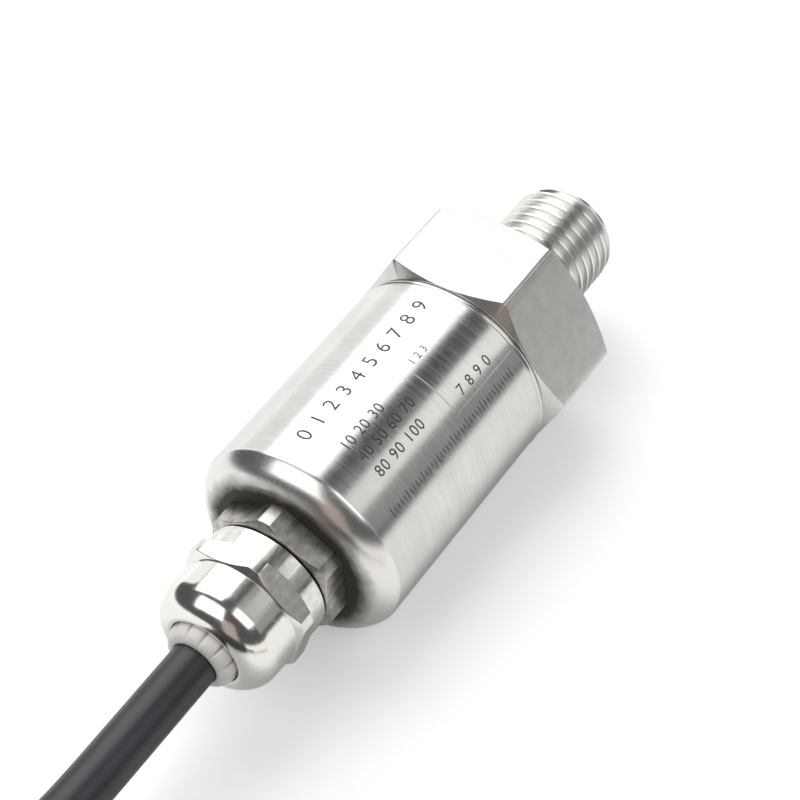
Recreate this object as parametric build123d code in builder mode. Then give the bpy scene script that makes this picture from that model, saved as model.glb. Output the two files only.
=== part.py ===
from build123d import *
import os
from math import asin, cos, degrees, pi, radians, sin, sqrt, tan

# A pressure transmitter, lying on its side.
# X is its own axis. The thread points to +X and starts at the origin, on the face that a sealing
# washer meets, and the cable leaves towards -X. Lengths are in millimetres.

os.makedirs("parts", exist_ok=True)

# Process connection: hexagon, thread, pressure port and sensor cavity
hex_flats = 27.0
hex_corner_cut = 0.29
hex_face_inset = 0.2
hex_length = 13.0
chamfer_angle = 30.0
thread_d = 14.0
thread_length = 16.0
thread_tip_drop = 1.0
port_d = 3.5
port_mouth = 0.4
port_floor = 4.5
port_chamber_rim = 0.4
cell_seat = 5.0
cavity_d = 19.1
spigot_length = 6.0

# Housing: a turned cup, as wide as the hexagon across its flats, with a rounded shoulder
tube_d = hex_flats
tube_wall = 1.25
tube_length = 31.08
seam = 0.12
seam_chamfer = 0.3
shoulder_length = 2.85
shoulder_mid = (1.65, 1.0)
shoulder_drop = 2.9
end_wall = 4.45

# Cable gland body
gland_thread_d = 12.0
gland_thread_length = 6.0
gland_flats = 15.8
gland_corner_cut = 0.42
gland_face_inset = 0.2
gland_hex_length = 3.45
nut_thread_d = 13.0
nut_thread_length = 5.5
cable_bore_gap = 0.4
seal_bore_wall = 0.75
seal_bore_depth = 5.0
seal_bore_chamfer = 0.3
o_ring_cord_d = 1.1
o_ring_play = 0.15

# Cap nut
nut_gap = 0.3
nut_collar_inset = 0.05
nut_collar_length = 2.6
nut_corner_cut = 0.37
nut_hex_length = 2.8
nut_turned = 18.0
dome_inset = 0.2
dome_straight = 3.23
dome_radius = 3.6
nut_hole_d = 8.9
nut_hole_edge = 0.4
nut_bore_depth = 6.2
nut_cone_length = 3.6
nut_ledge = 0.66

# Clamp cage, its sealing sleeve and the slip washer
finger_count = 12
finger_slot = 0.35
finger_root = 0.9
cage_step = 2.0
neck_length = 2.3
cage_tip = 1.67
cage_tip_wall = 0.15
cage_tip_mid = (0.62, 0.29)
cage_wall = 1.4
sleeve_start = 0.6
cage_taper_run = 0.5
sleeve_tip_wall = 0.55
washer_thickness = 0.6
washer_wall = 0.55

# Sensor cell and what it carries
cell_length = 11.0
cell_recess = 0.5
cell_rim = 1.5
cell_chamber_rim = 1.2
cell_chamber_depth = 1.3
pin_wall = 0.6
header_rim = 1.5
header_length = 4.0
cell_groove_width = 2.0
cell_groove_place = 4.5
cell_ring_cord_d = 1.3
diaphragm_thickness = 0.12
diaphragm_waves = 3
wave_height = 0.2
wave_core_r = 1.6
weld_ring_width = 1.0
clamp_ring_length = 2.5
clamp_ring_wall = 3.0
pin_d = 0.5
pin_circle_r = 4.0
pin_angles = (45, 90, 135, 225, 315)
pin_front = 0.4
die_side = 3.0
die_thickness = 0.6

# Boards and their parts
spacer_length = 3.5
spacer_wall = 2.35
board_thickness = 1.0
main_board_gap = 1.55
main_board_width = 18.0
pin_tail = 0.5
link_pin = 0.5
link_pin_length = 1.5
link_pin_pitch = 2.54
link_pin_count = 4

# Each place on the long board is the distance behind the round one, then across
chip_size = (5.0, 4.0, 1.5)
chip_place = (6.5, 3.5)
transistor_size = (6.5, 6.0, 2.3)
transistor_place = (6.5, -4.0)
diode_size = (4.5, 2.7, 2.0)
diode_place = (10.0, 0.0)
capacitor_size = (2.0, 1.25, 1.1)
capacitor_pitch = (3.0, 3.2)
capacitor_place = (6.0, 3.6)
resistor_size = (1.6, 0.8, 0.5)
resistor_pitch = (2.6, 1.9)
resistor_place = (6.0, -4.5)

# Cable: its route is a list of points chosen by hand, and the rest is wound up
cable_d = 5.8
core_d = 1.2
jacket_setback = 4.95
core_spread = 1.1
core_lead = (4.0, 1.3, 0.1)
core_bend = (-1.5, 2.6)
core_pad = (2.0, 2.8)
coil_turn_r = 31.9
coil_columns = 2
coil_layers = 2
coil_slack = 0.2
coil_edge = 1.6
tail_start_run = 12.0
tail_length = 40.0
tail_lift = 0.1
tail_core_length = 30.0
ferrule_length = 8.0
ferrule_d = 1.8

# Clearances
press_clearance = 0.03
close_clearance = 0.05
loose_clearance = 0.1
thread_clearance = 0.06
washer_clearance = 0.16
clamp_clearance = 0.28
wire_clearance = 0.02

# Stations along the axis, from the thread to the cable
floor_z = -hex_flats / 2
hex_back = -hex_length
spigot_back = hex_back - spigot_length
tube_front = hex_back - seam
tube_back = tube_front - tube_length
end_face = tube_back - shoulder_length
end_wall_inside = end_face + end_wall
gland_inside = end_face + gland_thread_length
gland_front = end_face - gland_hex_length
gland_tip = gland_front - nut_thread_length
seal_seat = gland_tip + seal_bore_depth
jacket_end = gland_inside - jacket_setback
nut_rear = gland_front - nut_gap
nut_hex_rear = nut_rear - nut_collar_length
nut_hex_front = nut_hex_rear - nut_hex_length
dome_bend = nut_hex_front - dome_straight
nut_shoulder = nut_rear - nut_bore_depth
cone_front = nut_shoulder - nut_cone_length

# Radii that fit each other
tube_bore_r = tube_d / 2 - tube_wall
o_ring_mean_r = gland_thread_d / 2 + o_ring_play + o_ring_cord_d / 2
o_ring_seat_r = o_ring_mean_r + o_ring_cord_d / 2 + o_ring_play
o_ring_seat_depth = o_ring_cord_d + loose_clearance
cable_bore_r = cable_d / 2 + cable_bore_gap
jacket_bore_r = cable_d / 2 + close_clearance
seal_bore_r = nut_thread_d / 2 - seal_bore_wall
nut_bore_r = nut_thread_d / 2 + thread_clearance
nut_cone_r = nut_bore_r - nut_ledge
nut_collar_r = gland_flats / 2 - nut_collar_inset
dome_r = gland_flats / 2 - dome_inset
cage_r = seal_bore_r - loose_clearance
cage_shoulder_r = nut_cone_r - clamp_clearance
cage_neck_r = nut_hole_d / 2 - clamp_clearance
cage_tip_r = jacket_bore_r + cage_tip_wall
sleeve_tip_r = jacket_bore_r + sleeve_tip_wall
cell_r = cavity_d / 2 - close_clearance
cell_recess_r = cell_r - cell_rim
cell_chamber_r = cell_recess_r - cell_chamber_rim
cell_groove_r = cavity_d / 2 - cell_ring_cord_d - close_clearance
header_r = pin_circle_r + header_rim


def section(*points):
    """A closed outline above the X axis, to be turned about it."""
    with BuildSketch(Plane.XZ) as half:
        with BuildLine():
            Polyline(*points, close=True)
        make_face()
    return half.sketch


def ring_section(back, front, inner_r, outer_r):
    """The rectangle that turns into a disc, or into a ring with the inner radius."""
    return section((back, inner_r), (front, inner_r), (front, outer_r), (back, outer_r))


def hexagon(flats, back, turned=0.0):
    """A hexagon across the axis. Unturned, its corners are on +Y and -Y."""
    with BuildSketch(Plane.YZ.offset(back)) as face:
        RegularPolygon(radius=flats / 2, side_count=6, major_radius=False, rotation=turned)
    return face.sketch


def hex_limit(outer_end, inner_end, flats, face_inset, corner_cut, both_ends=True):
    """What a hexagon is turned down to: rounded corners, and a chamfer at one end or both."""
    face_r = flats / 2 - face_inset
    corner_r = flats / 2 / cos(radians(30)) - corner_cut
    run = (corner_r - face_r) * tan(radians(chamfer_angle))
    points = [(outer_end, 0), (outer_end, face_r), (outer_end + run, corner_r)]
    if both_ends:
        points += [(inner_end - run, corner_r), (inner_end, face_r)]
    else:
        points += [(inner_end, corner_r)]
    return section(*points, (inner_end, 0))


def save(piece, name):
    """Labels a finished piece and writes it under its name."""
    piece.part.label = name
    export_step(piece.part, f"parts/{name}.step")


# The process connection is one turned piece: hexagon, thread, spigot, port and sensor cavity
thread_lead = thread_tip_drop / tan(radians(chamfer_angle))
with BuildPart() as process_connection:
    extrude(hexagon(hex_flats, hex_back), amount=hex_length)
    revolve(
        hex_limit(hex_back, 0, hex_flats, hex_face_inset, hex_corner_cut),
        axis=Axis.X,
        mode=Mode.INTERSECT,
    )
    revolve(
        section(
            (-port_floor, 0),
            (-port_floor, thread_d / 2),
            (thread_length - thread_lead, thread_d / 2),
            (thread_length, thread_d / 2 - thread_tip_drop),
            (thread_length, 0),
        ),
        axis=Axis.X,
    )
    revolve(
        ring_section(spigot_back, hex_back, 0, tube_bore_r - press_clearance), axis=Axis.X
    )
    revolve(
        section(
            (spigot_back, 0),
            (spigot_back, cavity_d / 2),
            (-cell_seat, cavity_d / 2),
            (-cell_seat, cell_recess_r + port_chamber_rim),
            (-port_floor, cell_recess_r + port_chamber_rim),
            (-port_floor, port_d / 2),
            (thread_length - port_mouth, port_d / 2),
            (thread_length, port_d / 2 + port_mouth),
            (thread_length, 0),
        ),
        axis=Axis.X,
        mode=Mode.SUBTRACT,
    )
save(process_connection, "process_connection")

# The housing is a cup whose shoulder is one arc between the tube and the flat end face
with BuildPart() as housing_shell:
    with BuildSketch(Plane.XZ):
        with BuildLine():
            Polyline(
                (tube_front, tube_bore_r),
                (tube_front, tube_d / 2 - seam_chamfer),
                (tube_front - seam_chamfer, tube_d / 2),
                (tube_back, tube_d / 2),
            )
            ThreePointArc(
                (tube_back, tube_d / 2),
                (tube_back - shoulder_mid[0], tube_d / 2 - shoulder_mid[1]),
                (end_face, tube_d / 2 - shoulder_drop),
            )
            Polyline(
                (end_face, tube_d / 2 - shoulder_drop),
                (end_face, o_ring_seat_r),
                (end_face + o_ring_seat_depth, o_ring_seat_r),
                (end_face + o_ring_seat_depth, gland_thread_d / 2 + close_clearance),
                (end_wall_inside, gland_thread_d / 2 + close_clearance),
                (end_wall_inside, tube_bore_r),
                (tube_front, tube_bore_r),
            )
        make_face()
    revolve(axis=Axis.X)
save(housing_shell, "housing_shell")

with BuildPart() as gland_o_ring:
    o_ring_x = end_face + o_ring_seat_depth / 2
    with BuildSketch(Plane.XZ):
        with Locations((o_ring_x, o_ring_mean_r)):
            Circle(o_ring_cord_d / 2)
    revolve(axis=Axis.X)
save(gland_o_ring, "gland_o_ring")

# The gland's hexagon has its corners up and down, a twelfth of a turn from the large one
with BuildPart() as gland_body:
    extrude(hexagon(gland_flats, gland_front, turned=30), amount=gland_hex_length)
    revolve(
        hex_limit(
            gland_front, end_face, gland_flats, gland_face_inset, gland_corner_cut, both_ends=False
        ),
        axis=Axis.X,
        mode=Mode.INTERSECT,
    )
    revolve(ring_section(end_face, gland_inside, 0, gland_thread_d / 2), axis=Axis.X)
    revolve(ring_section(gland_tip, gland_front, 0, nut_thread_d / 2), axis=Axis.X)
    revolve(
        section(
            (gland_tip, 0),
            (gland_tip, seal_bore_r + seal_bore_chamfer),
            (gland_tip + seal_bore_chamfer, seal_bore_r),
            (seal_seat, seal_bore_r),
            (seal_seat, cable_bore_r),
            (gland_inside, cable_bore_r),
            (gland_inside, 0),
        ),
        axis=Axis.X,
        mode=Mode.SUBTRACT,
    )
save(gland_body, "gland_body")

# The cap nut: collar, hexagon and dome outside, and a bore, a shoulder and a cone inside
hole_edge_r = nut_hole_d / 2 + nut_hole_edge
dome_center_r = dome_r - dome_radius
dome_end_angle = degrees(asin((hole_edge_r - dome_center_r) / dome_radius))
dome_end = dome_bend - dome_radius * cos(radians(dome_end_angle))
with BuildPart() as cap_nut:
    extrude(
        hexagon(gland_flats, nut_hex_front, turned=90 + nut_turned), amount=nut_hex_length
    )
    revolve(
        hex_limit(nut_hex_front, nut_hex_rear, gland_flats, nut_collar_inset, nut_corner_cut),
        axis=Axis.X,
        mode=Mode.INTERSECT,
    )
    revolve(ring_section(nut_hex_rear, nut_rear, 0, nut_collar_r), axis=Axis.X)
    with BuildSketch(Plane.XZ):
        with BuildLine():
            Polyline((nut_hex_front, 0), (nut_hex_front, dome_r), (dome_bend, dome_r))
            CenterArc((dome_bend, dome_center_r), dome_radius, 90, 90 - dome_end_angle)
            Polyline((dome_end, hole_edge_r), (dome_end, 0), (nut_hex_front, 0))
        make_face()
    revolve(axis=Axis.X)
    with BuildSketch(Plane.XZ):
        with BuildLine():
            Polyline(
                (nut_rear, 0),
                (nut_rear, nut_bore_r),
                (nut_shoulder, nut_bore_r),
                (nut_shoulder, nut_cone_r),
                (cone_front, nut_hole_d / 2),
                (dome_end + nut_hole_edge, nut_hole_d / 2),
            )
            RadiusArc(
                (dome_end + nut_hole_edge, nut_hole_d / 2),
                (dome_end, hole_edge_r),
                -nut_hole_edge,
            )
            Polyline((dome_end, hole_edge_r), (dome_end, 0), (nut_rear, 0))
        make_face()
    revolve(axis=Axis.X, mode=Mode.SUBTRACT)
save(cap_nut, "cap_nut")

with BuildPart() as slip_washer:
    washer_front = nut_shoulder + close_clearance
    washer_r = nut_bore_r - washer_clearance
    revolve(
        ring_section(
            washer_front, washer_front + washer_thickness, washer_r - washer_wall, washer_r
        ),
        axis=Axis.X,
    )
save(slip_washer, "slip_washer")

# The clamp cage: a solid ring in the gland, then fingers that the nut's cone bends inwards
cage_back = seal_seat - close_clearance
cage_taper_start = gland_tip - cage_taper_run
neck_front = cone_front - neck_length
cage_front = neck_front - cage_tip
with BuildPart() as clamp_cage:
    with BuildSketch(Plane.XZ):
        with BuildLine():
            Polyline(
                (cage_back, cage_r),
                (gland_tip, cage_r),
                (nut_shoulder, cage_shoulder_r),
                (cone_front, cage_neck_r),
                (neck_front, cage_neck_r),
            )
            ThreePointArc(
                (neck_front, cage_neck_r),
                (cage_front + cage_tip_mid[0], cage_neck_r - cage_tip_mid[1]),
                (cage_front, cage_tip_r),
            )
            Polyline(
                (cage_front, cage_tip_r),
                (cage_front, jacket_bore_r),
                (nut_shoulder - cage_step, jacket_bore_r),
                (nut_shoulder - cage_step, sleeve_tip_r + close_clearance),
                (cage_taper_start, cage_r - cage_wall),
                (cage_back, cage_r - cage_wall),
                (cage_back, cage_r),
            )
        make_face()
    revolve(axis=Axis.X)
    slots_back = nut_shoulder - finger_root
    slots_length = slots_back - cage_front + 1
    with BuildSketch(Plane.YZ.offset(slots_back)):
        with PolarLocations(0, finger_count // 2, angular_range=180):
            Rectangle(nut_hole_d * 2, finger_slot)
    extrude(amount=-slots_length, mode=Mode.SUBTRACT)
save(clamp_cage, "clamp_cage")

with BuildPart() as sealing_sleeve:
    sleeve_back = seal_seat - sleeve_start
    sleeve_front = nut_shoulder - cage_step + close_clearance
    sleeve_r = cage_r - cage_wall - close_clearance
    revolve(
        section(
            (sleeve_back, jacket_bore_r),
            (sleeve_back, sleeve_r),
            (cage_taper_start, sleeve_r),
            (sleeve_front, sleeve_tip_r),
            (sleeve_front, jacket_bore_r),
        ),
        axis=Axis.X,
    )
save(sealing_sleeve, "sealing_sleeve")

# Sensor cell: it carries the diaphragm in front, the header behind and the seal round it
cell_back = -cell_seat - cell_length
recess_floor = -cell_seat - cell_recess
header_front = cell_back + header_length
groove_center = -cell_seat - cell_groove_place
with BuildPart() as sensor_cell:
    revolve(ring_section(cell_back, -cell_seat, 0, cell_r), axis=Axis.X)
    revolve(
        section(
            (cell_back, 0),
            (cell_back, header_r + wire_clearance),
            (header_front, header_r + wire_clearance),
            (header_front, pin_circle_r + pin_wall),
            (recess_floor - cell_chamber_depth, pin_circle_r + pin_wall),
            (recess_floor - cell_chamber_depth, cell_chamber_r),
            (recess_floor, cell_chamber_r),
            (recess_floor, cell_recess_r + wire_clearance),
            (-cell_seat, cell_recess_r + wire_clearance),
            (-cell_seat, 0),
        ),
        axis=Axis.X,
        mode=Mode.SUBTRACT,
    )
    revolve(
        ring_section(
            groove_center - cell_groove_width / 2,
            groove_center + cell_groove_width / 2,
            cell_groove_r,
            cavity_d / 2,
        ),
        axis=Axis.X,
        mode=Mode.SUBTRACT,
    )
save(sensor_cell, "sensor_cell")

with BuildPart() as sensor_o_ring:
    with BuildSketch(Plane.XZ):
        with Locations((groove_center, cell_groove_r + cell_ring_cord_d / 2 + wire_clearance)):
            Circle(cell_ring_cord_d / 2)
    revolve(axis=Axis.X)
save(sensor_o_ring, "sensor_o_ring")

# The diaphragm's waves run between a flat centre and a flat rim, first back and then forward
wave_length = (cell_chamber_r - wave_core_r) / diaphragm_waves
wave_line = [(0, 0), (0, wave_core_r)]
for number in range(diaphragm_waves):
    side = wave_height if number % 2 else -wave_height
    wave_line.append((side, wave_core_r + wave_length * (number + 0.5)))
    wave_line.append((0, wave_core_r + wave_length * (number + 1)))
wave_line.append((0, cell_recess_r))
back_line = [(recess_floor + x, r) for x, r in wave_line]
front_line = [(x + diaphragm_thickness, r) for x, r in back_line]
with BuildPart() as sensor_diaphragm:
    revolve(section(*back_line, *reversed(front_line)), axis=Axis.X)
save(sensor_diaphragm, "sensor_diaphragm")

with BuildPart() as diaphragm_ring:
    weld_back = recess_floor + diaphragm_thickness
    weld_inner_r = cell_recess_r - weld_ring_width
    revolve(ring_section(weld_back, -cell_seat, weld_inner_r, cell_recess_r), axis=Axis.X)
save(diaphragm_ring, "diaphragm_ring")

board_front = spigot_back - spacer_length
board_back = board_front - board_thickness
pins_back = board_back - pin_tail
pins_front = header_front + pin_front
pin_spots = [
    (pin_circle_r * cos(radians(angle)), pin_circle_r * sin(radians(angle)))
    for angle in pin_angles
]

with BuildPart() as sensor_header:
    with BuildSketch(Plane.YZ.offset(cell_back)):
        Circle(header_r)
        with Locations(*pin_spots):
            Circle(pin_d / 2 + wire_clearance, mode=Mode.SUBTRACT)
    extrude(amount=header_length)
save(sensor_header, "sensor_header")

with BuildPart() as header_pins:
    with BuildSketch(Plane.YZ.offset(pins_back)):
        with Locations(*pin_spots):
            Circle(pin_d / 2)
    extrude(amount=pins_front - pins_back)
save(header_pins, "header_pins")

with BuildPart() as silicon_die:
    with BuildSketch(Plane.YZ.offset(header_front)):
        Rectangle(die_side, die_side)
    extrude(amount=die_thickness)
save(silicon_die, "silicon_die")

with BuildPart() as clamp_ring:
    revolve(
        ring_section(
            cell_back - clamp_ring_length, cell_back, cell_r - clamp_ring_wall, cell_r
        ),
        axis=Axis.X,
    )
save(clamp_ring, "clamp_ring")

# Boards: a round one on the header's pins, and a long one square to it
board_r = tube_bore_r - loose_clearance
with BuildPart() as board_spacer:
    revolve(
        ring_section(board_front, spigot_back, board_r - spacer_wall, board_r), axis=Axis.X
    )
save(board_spacer, "board_spacer")

with BuildPart() as sensor_board:
    with BuildSketch(Plane.YZ.offset(board_back)):
        Circle(board_r)
        with Locations(*pin_spots):
            Circle(pin_d / 2 + wire_clearance, mode=Mode.SUBTRACT)
    extrude(amount=board_thickness)
save(sensor_board, "sensor_board")

main_board_back = gland_inside + main_board_gap
board_top = board_thickness / 2
with BuildPart() as main_board:
    with BuildSketch(Plane.XY.offset(-board_top)):
        with Locations(((board_back + main_board_back) / 2, 0)):
            Rectangle(board_back - main_board_back, main_board_width)
    extrude(amount=board_thickness)
save(main_board, "main_board")

with BuildPart() as board_link_pins:
    with BuildSketch(Plane.XY.offset(board_top)):
        with Locations((board_back - link_pin_length / 2, 0)):
            with GridLocations(0, link_pin_pitch, 1, link_pin_count):
                Rectangle(link_pin_length, link_pin)
    extrude(amount=link_pin)
save(board_link_pins, "board_link_pins")


def on_board(place):
    """The sketch point of a place on the long board."""
    return (board_back - place[0], place[1])


# The chip and the transistor stand on the upper face, and the rest are on the lower one
with BuildPart() as amplifier_chip:
    with BuildSketch(Plane.XY.offset(board_top)):
        with Locations(on_board(chip_place)):
            Rectangle(chip_size[0], chip_size[1])
    extrude(amount=chip_size[2])
save(amplifier_chip, "amplifier_chip")

with BuildPart() as loop_transistor:
    with BuildSketch(Plane.XY.offset(board_top)):
        with Locations(on_board(transistor_place)):
            Rectangle(transistor_size[0], transistor_size[1])
    extrude(amount=transistor_size[2])
save(loop_transistor, "loop_transistor")

with BuildPart() as surge_diode:
    with BuildSketch(Plane.XY.offset(-board_top)):
        with Locations(on_board(diode_place)):
            Rectangle(diode_size[0], diode_size[1])
    extrude(amount=-diode_size[2])
save(surge_diode, "surge_diode")

with BuildPart() as chip_capacitors:
    with BuildSketch(Plane.XY.offset(-board_top)):
        with Locations(on_board(capacitor_place)):
            with GridLocations(*capacitor_pitch, 2, 2):
                Rectangle(capacitor_size[0], capacitor_size[1])
    extrude(amount=-capacitor_size[2])
save(chip_capacitors, "chip_capacitors")

with BuildPart() as chip_resistors:
    with BuildSketch(Plane.XY.offset(-board_top)):
        with Locations(on_board(resistor_place)):
            with GridLocations(*resistor_pitch, 3, 2):
                Rectangle(resistor_size[0], resistor_size[1])
    extrude(amount=-resistor_size[2])
save(chip_resistors, "chip_resistors")


def bend_radii(points):
    """The arc radius at each inner point: 0.45 of the shorter run over the tangent of half the turn."""
    radii = []
    for before, here, after in zip(points, points[1:], points[2:]):
        back = Vector(*here) - Vector(*before)
        ahead = Vector(*after) - Vector(*here)
        turn = radians(back.get_angle(ahead))
        radii.append(0.45 * min(back.length, ahead.length) / tan(turn / 2))
    return radii


def core_route(side):
    """A stripped core inside the housing, from the jacket's end to its pad on the board."""
    pad_z = board_top + core_d / 2 + wire_clearance
    return [
        (jacket_end, side * core_spread, 0),
        (jacket_end + core_lead[0], side * core_lead[1], core_lead[2]),
        (main_board_back + core_bend[0], side * core_bend[1], pad_z),
        (main_board_back + core_pad[0], side * core_pad[1], pad_z),
    ]


def round_sweep(points, diameter):
    """The path of a round cord or core, with an arc at each inner point, and its first face."""
    start = Vector(*points[0])
    with BuildLine() as route:
        FilletPolyline(*points, radius=bend_radii(points))
    with BuildSketch(Plane(origin=start, z_dir=Vector(*points[1]) - start)) as face:
        Circle(diameter / 2)
    return route.wires()[0], face.sketch


with BuildPart() as supply_core:
    path, face = round_sweep(core_route(1), core_d)
    sweep(face, path=path)
save(supply_core, "supply_core")

with BuildPart() as signal_core:
    path, face = round_sweep(core_route(-1), core_d)
    sweep(face, path=path)
save(signal_core, "signal_core")

# The cable leaves straight, and comes to lie on the coil's upper turns on a tangent
cable_route = [
    (jacket_end, 0, 0),
    (-69.5, 0, 0),
    (-92.5, 0.15, -0.25),
    (-109.5, 3.2, 1.1),
    (-124, 9.4, 1.1),
]
with BuildPart() as cable:
    path, face = round_sweep(cable_route, cable_d)
    sweep(face, path=path)
save(cable, "cable")
print("cable bend radii", [round(radius, 1) for radius in bend_radii(cable_route)])
print("cable volume", round(cable.part.volume), "of", round(path.length * pi * cable_d**2 / 4))

# The coil lies on the floor to the left of the cable's end: full turns in two columns, and the
# first half turn on top of the outer column
join = Vector(*cable_route[-1])
heading = (join - Vector(*cable_route[-2])).normalized()
left = Vector(-heading.Y, heading.X, 0)
coil_center = Vector(join.X, join.Y, 0) + left * coil_turn_r
coil_outer_r = coil_turn_r + cable_d / 2 + coil_slack
coil_inner_r = coil_turn_r - (coil_columns - 0.5) * cable_d - coil_slack
coil_height = coil_layers * cable_d
top_turn = Vector(0, -1, 0).get_angle(left)
with BuildPart() as cable_coil:
    with BuildSketch(Plane(origin=(coil_center.X, coil_center.Y, floor_z))):
        Circle(coil_outer_r)
        Circle(coil_inner_r, mode=Mode.SUBTRACT)
    extrude(amount=coil_height)
    chamfer(cable_coil.edges().filter_by(GeomType.CIRCLE), length=coil_edge)
    top_start = Vector(coil_center.X, coil_center.Y, floor_z + coil_height - coil_edge)
    with BuildSketch(Plane(origin=top_start, x_dir=-left, z_dir=-heading)):
        with Locations((coil_turn_r, (cable_d + coil_edge) / 2 + coil_slack)):
            Rectangle(cable_d + 2 * coil_slack, cable_d + coil_edge + 2 * coil_slack)
    revolve(axis=Axis(coil_center, (0, 0, 1)), revolution_arc=180 + top_turn)
save(cable_coil, "cable_coil")

# The tail leaves the lowest turn towards +X, with two stripped cores and their ferrules
tail_z = floor_z + cable_d / 2 + tail_lift
tail_start_x = coil_center.X + tail_start_run
tail_y = coil_center.Y - coil_turn_r
tail_end_x = coil_center.X + tail_length
with BuildPart() as cable_tail:
    with BuildSketch(Plane.YZ.offset(tail_start_x)):
        with Locations((tail_y, tail_z)):
            Circle(cable_d / 2)
    extrude(amount=tail_end_x - tail_start_x)
save(cable_tail, "cable_tail")

with BuildPart() as tail_supply_core:
    with BuildSketch(Plane.YZ.offset(tail_end_x)):
        with Locations((tail_y + core_spread, tail_z)):
            Circle(core_d / 2)
    extrude(amount=tail_core_length)
save(tail_supply_core, "tail_supply_core")

with BuildPart() as tail_signal_core:
    with BuildSketch(Plane.YZ.offset(tail_end_x)):
        with Locations((tail_y - core_spread, tail_z)):
            Circle(core_d / 2)
    extrude(amount=tail_core_length)
save(tail_signal_core, "tail_signal_core")

with BuildPart() as wire_ferrules:
    with BuildSketch(Plane.YZ.offset(tail_end_x + tail_core_length)):
        with Locations((tail_y + core_spread, tail_z), (tail_y - core_spread, tail_z)):
            Circle(ferrule_d / 2)
    extrude(amount=ferrule_length)
save(wire_ferrules, "wire_ferrules")
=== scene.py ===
# %% [markdown]
# # A pressure transmitter on a pale table
# The object is a turned stainless housing with a hexagonal process connection at one end and a
# nickel-plated cable gland at the other, from which a dark round cable runs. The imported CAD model
# is loaded first. It gives every size and place, so each piece here is made where the CAD has it.

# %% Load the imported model
import math

import bmesh
import bpy
from mathutils import Matrix, Vector


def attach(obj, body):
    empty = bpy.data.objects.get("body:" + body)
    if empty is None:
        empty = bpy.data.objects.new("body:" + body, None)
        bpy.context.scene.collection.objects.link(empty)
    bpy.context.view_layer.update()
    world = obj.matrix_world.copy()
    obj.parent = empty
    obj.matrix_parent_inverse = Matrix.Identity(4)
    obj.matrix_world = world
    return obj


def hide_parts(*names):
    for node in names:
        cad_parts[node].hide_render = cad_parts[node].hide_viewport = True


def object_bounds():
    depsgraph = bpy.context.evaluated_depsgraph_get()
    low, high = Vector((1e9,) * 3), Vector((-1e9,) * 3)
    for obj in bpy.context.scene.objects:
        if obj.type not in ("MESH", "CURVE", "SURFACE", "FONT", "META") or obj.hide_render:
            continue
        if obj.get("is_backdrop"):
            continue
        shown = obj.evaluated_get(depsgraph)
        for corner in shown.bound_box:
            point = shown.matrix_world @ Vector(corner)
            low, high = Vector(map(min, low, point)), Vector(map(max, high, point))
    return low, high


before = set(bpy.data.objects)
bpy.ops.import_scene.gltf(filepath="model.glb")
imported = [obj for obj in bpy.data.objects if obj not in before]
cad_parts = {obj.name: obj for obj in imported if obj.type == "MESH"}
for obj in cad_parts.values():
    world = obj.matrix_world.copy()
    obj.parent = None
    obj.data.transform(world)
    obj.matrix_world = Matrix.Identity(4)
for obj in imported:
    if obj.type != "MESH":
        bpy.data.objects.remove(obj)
cad_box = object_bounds()
MM = 0.001
print("CAD box, mm:", [[round(v / MM, 1) for v in corner] for corner in cad_box])

# %% [markdown]
# ## The camera
# A long lens close above the gland's side shows the housing running away to the thread. The
# camera's place and its three directions were worked out from the outlines of the hexagon, the
# tube and the nut. A long focal length keeps the tube's sides nearly parallel, as in the picture.

# %% Camera


def in_scene(name, data):
    """A new object for that data, linked to the scene."""
    made = bpy.data.objects.new(name, data)
    bpy.context.scene.collection.objects.link(made)
    return made


camera_place = Vector((-162.51, -107.19, 189.36)) * MM
camera_right = Vector((0.54912, -0.83287, -0.06915))
camera_down = Vector((-0.63395, -0.36120, -0.68385))
camera_ahead = Vector((0.54458, 0.41935, -0.72634))
camera_data = bpy.data.cameras.new("camera")
camera_data.sensor_width = 36.0
camera_data.lens = 97.39
camera_data.clip_start = 0.01
camera_data.clip_end = 20.0
camera = in_scene("camera", camera_data)
turned_camera = Matrix((camera_right, -camera_down, -camera_ahead)).transposed().to_4x4()
camera.matrix_world = Matrix.Translation(camera_place) @ turned_camera
bpy.context.scene.camera = camera
print("camera at", [round(v, 4) for v in camera.location])

# %% [markdown]
# ## The cable
# The cable is 5.8 mm thick, and about one metre of it is taken to come with the transmitter. A
# real cable is stiff enough to leave the gland straight. It then lies down in a wide bend, and the
# rest is wound up beyond the picture's edge. One smooth NURBS curve does all of this: its control
# points are the route's points, and the coil's turns are more points that a loop works out. A
# quadratic spline touches the middle of each run between its points, so the coil's corners are
# set a little further out than the turns themselves.

# %% Cable route
cable_d = 5.8
cable_route = [
    (-46.0, 0.0, 0.0),
    (-69.5, 0.0, 0.0),
    (-92.5, 0.15, -0.25),
    (-109.5, 3.2, 1.1),
    (-124.0, 9.4, 1.1),
]
outer_turn_r = 31.9
inner_turn_r = outer_turn_r - cable_d
table_z = -13.5
low_layer_z = table_z + cable_d / 2
high_layer_z = low_layer_z + cable_d
top_turn_z = high_layer_z + cable_d
last_run = Vector(cable_route[-1]) - Vector(cable_route[-2])
coil_start = math.atan2(last_run.y, last_run.x) - math.pi / 2
coil_center = (
    cable_route[-1][0] - outer_turn_r * math.cos(coil_start),
    cable_route[-1][1] - outer_turn_r * math.sin(coil_start),
)
print("coil centre", [round(v, 2) for v in coil_center], "from", round(math.degrees(coil_start), 1))

# %% [markdown]
# Each turn keeps its radius and its layer for most of the way round. Where the next turn begins,
# the cable steps down a layer or across to the other column. As it steps down, it also swings a
# little out of its column, because two strands can't cross in one another's room.

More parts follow.
